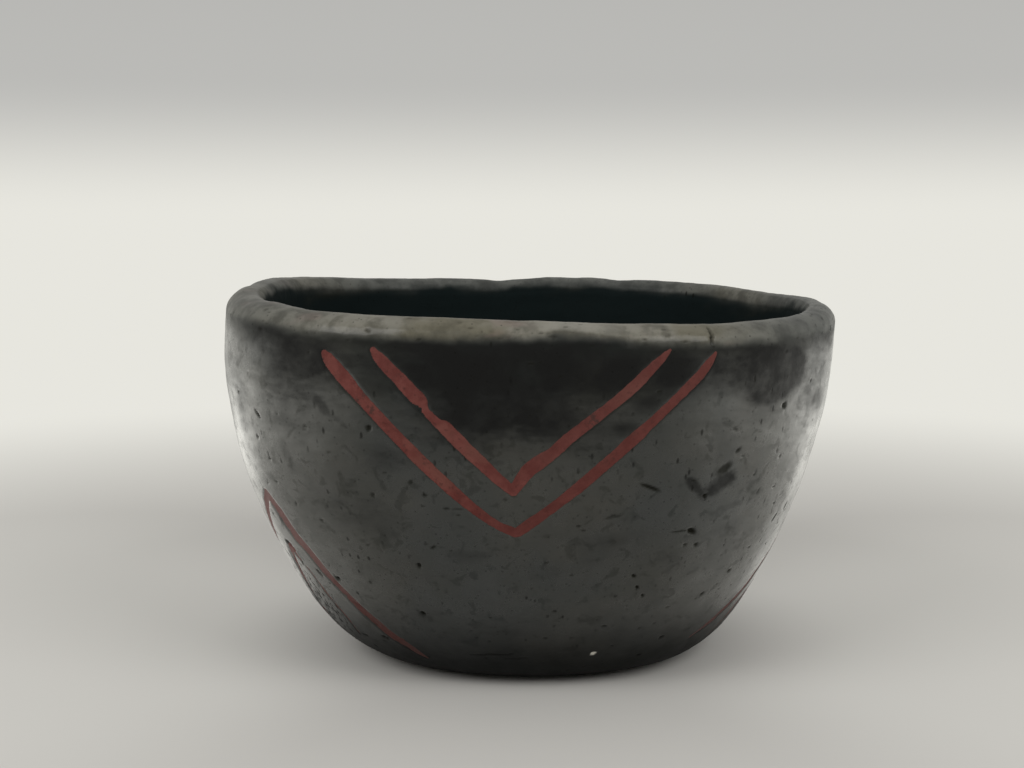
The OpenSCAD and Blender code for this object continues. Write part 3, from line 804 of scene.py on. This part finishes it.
col = c.mix(c.ramp(broad, 0.38, 0.62), (0.0100, 0.0132, 0.0121), (0.0161, 0.0169, 0.0122))
col = c.mix(c.math("MULTIPLY", c.ramp(mid, 0.45, 0.75), 0.45), col, (0.022, 0.025, 0.021))
col = c.mix(c.math("MULTIPLY", c.ramp(streak, 0.5, 0.8), 0.35), col, (0.008, 0.008, 0.008))
col = c.mix(c.math("MULTIPLY", c.ramp(stain, 0.56, 0.72), 0.3), col, (0.024, 0.021, 0.013))
edge_ = c.math("MULTIPLY", c.math("MULTIPLY", soot_shade, c.math("SUBTRACT", 1.0, soot_shade)), 5.0)      # most at a patch's edge
ragged = c.math("MULTIPLY", edge_, c.ramp(rubbed, 0.38, 0.62, -0.10, 0.10))
soot_and_shade_fac = c.math("MULTIPLY", c.math("ADD", soot_shade, ragged, True), c.ramp(mid, 0.25, 0.6, 0.75, 1.0), True)
# soot and painted shade: the colour darkens under real soot and smears, and under the painted dark patch below the
# front lip and on the flanks
col = c.mix(soot_and_shade_fac, col, (0.0092, 0.0093, 0.0091))
greyed = c.mix(c.ramp(mid, 0.35, 0.65), (0.062, 0.065, 0.061), (0.103, 0.107, 0.099))
lipcol = c.mix(c.ramp(mid, 0.38, 0.62), (0.105, 0.100, 0.080), (0.185, 0.178, 0.150))
lipcol = c.mix(c.math("MULTIPLY", c.ramp(stain, 0.5, 0.62), 0.6), lipcol, (0.105, 0.095, 0.062))
lipcol = c.mix(c.math("MULTIPLY", c.ramp(c.noise(120, 2, 0.5, c.scaled(1, 1, 2.5)), 0.60, 0.70), 0.5), lipcol, (0.190, 0.145, 0.128))
lipcol = c.mix(c.ramp(worn_, 1.0, 1.4, 0.0, 0.75), lipcol, (0.250, 0.243, 0.212))
lipcol = c.mix(c.math("MULTIPLY", worn_, 1.0, True), greyed, lipcol)
lip_fac = c.math("MULTIPLY", lip, c.ramp(mid, 0.2, 0.55, 0.70, 1.0), True)
col = c.mix(lip_fac, col, lipcol)
col = c.mix(c.math("MULTIPLY", ins, 0.95), col, (0.0060, 0.0104, 0.0110))
used_ = c.math("MULTIPLY", c.attr("bed"), c.ramp(c.noise(210, 5, 0.62), 0.34, 0.70, 0.45, 1.0))
col = c.mix(used_, col, (0.025, 0.026, 0.024))
col = c.mix(c.math("MULTIPLY", c.ramp(speck, 0.22, 0.05), c.ramp(mid, 0.4, 0.7, 0.1, 0.75)), col, (0.004, 0.004, 0.003))
col = c.mix(c.math("MULTIPLY", slash, 0.7), col, (0.004, 0.004, 0.003))
col = c.mix(c.math("MULTIPLY", pt, 0.92), col, (0.0066, 0.0064, 0.0034))
# painted shade: darker towards the foot, where the wall mirrors the shadowed floor beneath it
col = c.mix(c.math("MULTIPLY", low, 0.85), col, (0.0048, 0.0050, 0.0050))
col = c.mix(chp, col, (0.62, 0.60, 0.54))
c.put(c.bsdf.inputs["Base Color"], col)

rough = c.ramp(broad, 0.3, 0.7, 0.36, 0.44)
rough = c.math("ADD", rough, c.ramp(mid, 0.4, 0.75, 0.0, 0.10))
rough = c.math("ADD", rough, c.math("MULTIPLY", matt_, 0.20))
rough = c.math("ADD", rough, c.math("MULTIPLY", ins, 0.35))
rough = c.math("ADD", rough, c.math("MULTIPLY", low, 0.25))
rough = c.math("ADD", rough, c.math("MULTIPLY", pt, 0.35), True)
c.put(c.bsdf.inputs["Roughness"], rough)
c.bsdf.inputs["Specular IOR Level"].default_value = 0.08
c.bsdf.inputs["IOR"].default_value = 1.5

# the burnish itself: a thin polished skin, missing where it is worn, sooty or painted in shade, pitted or was never
# rubbed
keep_ = lambda m, f: c.math("SUBTRACT", 1.0, c.math("MULTIPLY", m, f), True)
shine = c.ramp(mid, 0.30, 0.72, 1.0, 0.80)
shine = c.math("MULTIPLY", shine, c.ramp(blots, 0.66, 0.55, 0.66, 1.0))
shine = c.math("MULTIPLY", shine, c.ramp(speck, 0.05, 0.22, 0.6, 1.0))
for m, f in ((ins, 1.0), (low, 0.97), (pt, 1.0), (matt_, 0.66), (soot_and_shade_fac, 0.95), (slash, 0.7), (chp, 1.0)):
    shine = c.math("MULTIPLY", shine, keep_(m, f))
c.put(c.bsdf.inputs["Coat Weight"], shine)
c.bsdf.inputs["Coat Roughness"].default_value = 0.20
c.bsdf.inputs["Coat IOR"].default_value = 1.67

height = c.math("ADD", c.math("MULTIPLY", fine, 0.5), c.math("MULTIPLY", streak, 0.35))
height = c.math("SUBTRACT", height, c.math("MULTIPLY", c.ramp(speck, 0.22, 0.04), c.ramp(mid, 0.35, 0.7, 0.1, 0.8)))
height = c.math("SUBTRACT", height, slash)
nrm_ = c.bump(mid, 0.35, 0.00020)
nrm_ = c.bump(height, 0.5, 0.00005, nrm_)
c.put(c.bsdf.inputs["Normal"], nrm_)
c.put(c.bsdf.inputs["Coat Normal"], c.bump(mid, 0.25, 0.00012))
pot.data.materials.append(c.mat)

# ---- red earth pigment
p = Tree("red_earth_pigment")
thk, pale, run_, foot_ = p.attr("thick"), p.attr("pale"), p.attr("run"), p.attr("low")
pm = p.noise(420, 4, 0.62)
pf = p.noise(1500, 3, 0.6)
pcol = p.mix(p.ramp(pm, 0.35, 0.68), (0.103, 0.023, 0.019), (0.147, 0.043, 0.036))
pcol = p.mix(p.math("MULTIPLY", p.ramp(p.noise(90, 3, 0.5), 0.54, 0.68), 0.40), pcol, (0.175, 0.075, 0.058))
pcol = p.mix(p.math("MULTIPLY", p.ramp(thk, 0.045, 0.0), 0.6), pcol, (0.035, 0.016, 0.013))
pcol = p.mix(p.math("MULTIPLY", p.ramp(pf, 0.55, 0.70), 0.5), pcol, (0.045, 0.014, 0.012))
pcol = p.mix(p.ramp(run_, 27, 40, 0.0, 0.45), pcol, (0.086, 0.025, 0.021))
pcol = p.mix(p.math("MULTIPLY", pale, 0.72), pcol, (0.145, 0.086, 0.082))
pcol = p.mix(p.ramp(foot_, 0.36, 0.10, 0.0, 0.66), pcol, (0.034, 0.017, 0.015))
thin = p.math("MULTIPLY", p.ramp(p.noise(520, 4, 0.65), 0.56, 0.66), p.ramp(p.noise(60, 3, 0.5), 0.45, 0.62, 0.1, 0.7))
pcol = p.mix(thin, pcol, (0.030, 0.022, 0.019))
p.put(p.bsdf.inputs["Base Color"], pcol)
p.put(p.bsdf.inputs["Roughness"], p.ramp(pm, 0.3, 0.7, 0.55, 0.75))
p.bsdf.inputs["Specular IOR Level"].default_value = 0.18
p.put(p.bsdf.inputs["Normal"], p.bump(pf, 0.45, 0.00006, p.bump(pm, 0.5, 0.00015)))
for o in pigments:
    o.data.materials.append(p.mat)

# --------------------------------------------------------------------------
# Floor, light and camera
# --------------------------------------------------------------------------
FRONT, SIDE, HIGH = 0.26, 1.25, 0.40     # brightness of the room: before the bowl, beside it, above it
TABLE_SIDE = 3.3                          # and of the lit table beside it, as the wall mirrors it
GLOW = (0.80, 0.79, 0.735)                # colour of the room at the horizon behind the bowl


def room_light(t, x, y, z, side=SIDE):
    """Brightness of the room in a direction, as nodes: bright behind and beside, darker in front."""
    behind = t.ramp(y, -0.97, -0.35, FRONT, 1.0)
    beside = t.math("MULTIPLY", t.ramp(t.math("ABSOLUTE", x), 0.45, 0.88, 0.0, side - 1.0), t.ramp(z, 0.80, 0.3))
    beside = t.math("MULTIPLY", beside, t.ramp(y, -0.10, 0.40, 0.45, 1.0))
    low = t.math("ADD", behind, beside)
    return t.math("ADD", t.math("MULTIPLY", low, t.ramp(z, 0.75, 0.05)), t.ramp(z, 0.05, 0.75, 0.0, 1.0))


bpy.ops.mesh.primitive_plane_add(size=60.0, location=(0, 0, 0))
floor = bpy.context.object
floor.name = "floor"
fm = Tree("pale_floor")
tone = fm.mix(fm.noise(6, 2, 0.5), (0.585, 0.575, 0.555), (0.60, 0.592, 0.570))
fm.put(fm.bsdf.inputs["Base Color"], tone)
fm.bsdf.inputs["Roughness"].default_value = 0.8
fm.bsdf.inputs["Specular IOR Level"].default_value = 0.25
length = fm.t.nodes.new("ShaderNodeVectorMath")
length.operation = "LENGTH"
fm.put(length.inputs[0], fm.coord)
away = fm.t.nodes.new("ShaderNodeVectorMath")
away.operation = "NORMALIZE"
fm.put(away.inputs[0], fm.coord)
fsep = fm.t.nodes.new("ShaderNodeSeparateXYZ")
fm.put(fsep.inputs[0], away.outputs[0])
seen = fm.t.nodes.new("ShaderNodeLightPath").outputs["Is Camera Ray"]
level = room_light(fm, fsep.outputs[0], fsep.outputs[1], 0.0, TABLE_SIDE)
wide = room_light(fm, fsep.outputs[0], fsep.outputs[1], 0.0)
level = fm.math("ADD", wide, fm.math("MULTIPLY", fm.math("SUBTRACT", level, wide), fm.ramp(length.outputs["Value"], 0.17, 0.38, 1.0, 0.0)))
level = fm.math("ADD", level, fm.math("MULTIPLY", seen, fm.math("SUBTRACT", 1.0, level)))   # seen directly it is plain
flank = fm.ramp(fm.math("ABSOLUTE", fsep.outputs[0]), 0.45, 0.88)
reach = fm.math("ADD", 1.0, fm.math("MULTIPLY", fm.math("MULTIPLY", flank, 0.75), fm.math("SUBTRACT", 1.0, seen)))
far = fm.ramp(fm.math("MULTIPLY", length.outputs["Value"], reach), 0.09, 0.34)
# painted light: beside the bowl the floor glows a little, lifting the shade that the bowl casts there
near_ = fm.math("MULTIPLY", fm.ramp(length.outputs["Value"], 0.024, 0.06, 0.0, 0.22), flank)
far = fm.math("MAXIMUM", far, near_)
glow = fm.t.nodes.new("ShaderNodeEmission")
glow.inputs["Color"].default_value = (*GLOW, 1)
fm.put(glow.inputs["Strength"], level)
blend = fm.t.nodes.new("ShaderNodeMixShader")
fm.put(blend.inputs[0], far)
fm.t.links.new(fm.bsdf.outputs[0], blend.inputs[1])
fm.t.links.new(glow.outputs[0], blend.inputs[2])
fm.t.links.new(blend.outputs[0], fm.out.inputs[0])
floor.data.materials.append(fm.mat)

world = bpy.data.worlds.new("studio")
bpy.context.scene.world = world
world.use_nodes = True


class Sky(Tree):
    def __init__(self, tree):
        self.t = tree


sky = Sky(world.node_tree)
sky.t.nodes.clear()
wo = sky.t.nodes.new("ShaderNodeOutputWorld")
bg = sky.t.nodes.new("ShaderNodeBackground")
sep = sky.t.nodes.new("ShaderNodeSeparateXYZ")
sky.put(sep.inputs[0], sky.t.nodes.new("ShaderNodeTexCoord").outputs["Generated"])
tint = sky.mix(sky.ramp(sep.outputs["Z"], 0.0, 0.17), GLOW, (0.50, 0.49, 0.465))
tint = sky.mix(sky.ramp(sep.outputs["Z"], 0.25, 0.8), tint, (HIGH, HIGH * 0.985, HIGH * 0.95))
lvl = sky.t.nodes.new("ShaderNodeVectorMath")
lvl.operation = "SCALE"
sky.put(lvl.inputs[0], tint)
sky.put(lvl.inputs["Scale"], room_light(sky, sep.outputs["X"], sep.outputs["Y"], sep.outputs["Z"]))
backdrop = sky.mix(sky.ramp(sep.outputs["Z"], -0.005, 0.085), GLOW, (0.50, 0.497, 0.478))   # what is seen directly
backdrop = sky.mix(sky.ramp(sep.outputs["Z"], 0.05, 0.30), backdrop, (0.42, 0.415, 0.40))
seen_ = sky.t.nodes.new("ShaderNodeLightPath").outputs["Is Camera Ray"]
sky.put(bg.inputs["Color"], sky.mix(seen_, lvl.outputs[0], backdrop))
sky.t.links.new(bg.outputs[0], wo.inputs[0])


def area(name, loc, size, power, target=(0, 0, 0.03), color=(1, 1, 1), size_y=None):
    d = bpy.data.lights.new(name, "AREA")
    d.shape = "RECTANGLE"
    d.size, d.size_y = size, size_y or size
    d.energy = power
    d.color = color
    o = bpy.data.objects.new(name, d)
    bpy.context.scene.collection.objects.link(o)
    from mathutils import Vector
    o.location = loc
    o.visible_camera = False
    o.rotation_euler = (Vector(target) - Vector(loc)).to_track_quat("-Z", "Y").to_euler()
    return o


area("top_soft", (0.0, 0.15, 0.80), 0.6, 0.5, color=(1.0, 0.985, 0.95))
area("front_left_soft", (-0.46, -0.46, 0.50), 0.42, 2.3, color=(1.0, 0.99, 0.97))
area("front_right_soft", (0.46, -0.46, 0.50), 0.42, 2.3, color=(1.0, 0.99, 0.97))

cam_data = bpy.data.cameras.new("camera")
cam = bpy.data.objects.new("camera", cam_data)
bpy.context.scene.collection.objects.link(cam)
cam_data.sensor_width = 36.0
cam_data.lens = 53.6
cam_data.clip_start = 0.01
cam_data.clip_end = 50
cam_data.dof.use_dof = False
cam.location = (0.00046, -0.260, 0.0738)
cam.rotation_euler = (math.radians(90 - 6.52), 0, math.radians(0.834))
bpy.context.scene.camera = cam

scene = bpy.context.scene
scene.view_settings.view_transform = "Standard"
scene.view_settings.look = "None"
